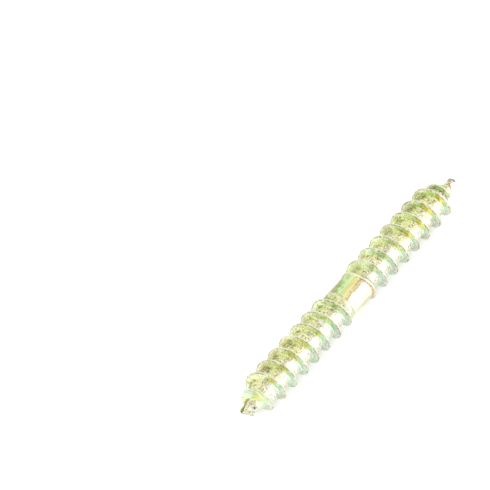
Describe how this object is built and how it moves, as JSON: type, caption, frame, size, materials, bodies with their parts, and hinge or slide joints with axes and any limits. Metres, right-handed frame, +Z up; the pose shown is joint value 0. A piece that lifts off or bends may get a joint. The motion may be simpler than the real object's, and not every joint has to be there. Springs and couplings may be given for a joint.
{
  "type": "dowel screw",
  "caption": "Double-ended wood screw with a coarse thread on each half, a short plain shank in the middle, one nipped blunt point and one slim point.",
  "frame": {"origin": "centre of the bounding box, on the screw's axis at the middle of its plain shank", "axes": "+X along the axis towards the slim point, -X towards the blunt nipped point, +Z up with the screw lying on its side"},
  "size_m": [0.07, 0.008, 0.008],
  "materials": {
    "passivated_zinc": "zinc plated with an iridescent yellow passivation"
  },
  "bodies": {
    "root": {"dowel_screw": "passivated_zinc"}
  },
  "joints": []
}
